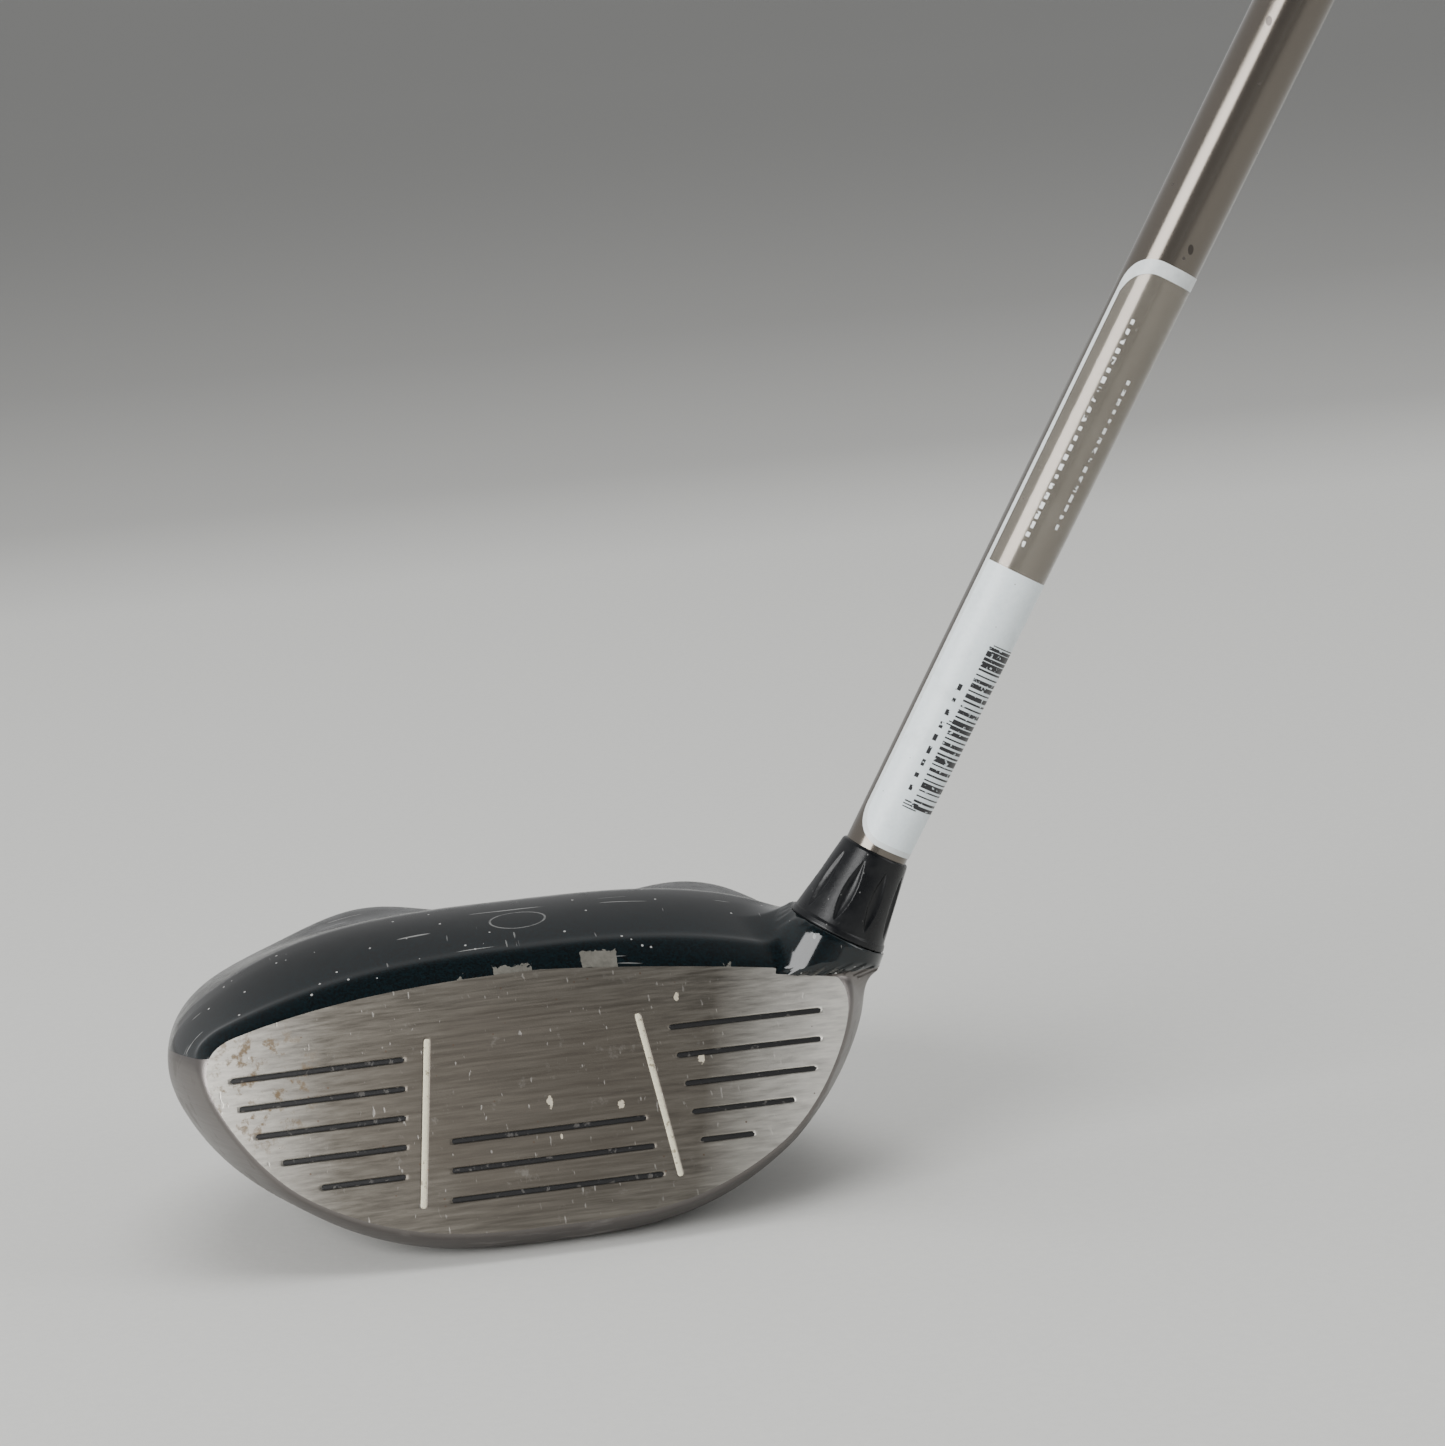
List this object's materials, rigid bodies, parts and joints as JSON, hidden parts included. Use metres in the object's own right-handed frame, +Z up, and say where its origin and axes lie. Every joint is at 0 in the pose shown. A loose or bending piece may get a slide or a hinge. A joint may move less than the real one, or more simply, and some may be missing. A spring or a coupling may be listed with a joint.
{
  "type": "fairway wood",
  "caption": "Golf club with a low rounded metal head, grooved steel face, black plastic ferrule, tapered shaft and rubber grip.",
  "frame": {"origin": "middle of the small flat on the sole that rests on the ground, straight below the middle of the face", "axes": "+Z up from the ground, face looks towards -Y, toe at -X, shaft leans to +X at the lie angle"},
  "size_m": [0.6336, 0.0785, 0.9211],
  "materials": {
    "face_steel": "brushed along the grooves, worn",
    "crown_paint": "gloss black with fine metallic flake",
    "body_steel": "satin polished",
    "sole_steel": "satin, scuffed",
    "hot_melt_glue": "tacky",
    "ferrule_plastic": "gloss black",
    "epoxy": "cured adhesive",
    "plug_plastic": "moulded",
    "shaft_paint": "gloss pewter lacquer on graphite",
    "label_film": "printed film",
    "tape_paper": "paper tape",
    "grip_rubber": "moulded, matt",
    "cap_rubber": "moulded, smooth"
  },
  "bodies": {
    "root": {"face_plate": "face_steel", "crown_plate": "crown_paint", "head_body": "body_steel", "hosel": "body_steel", "sole_plate": "sole_steel", "hot_melt": "hot_melt_glue", "ferrule": "ferrule_plastic", "bond_sleeve": "epoxy", "tip_plug": "plug_plastic", "shaft": "shaft_paint", "shaft_label": "label_film", "grip_tape": "tape_paper", "grip_sleeve": "grip_rubber", "grip_cap": "cap_rubber"}
  },
  "joints": []
}
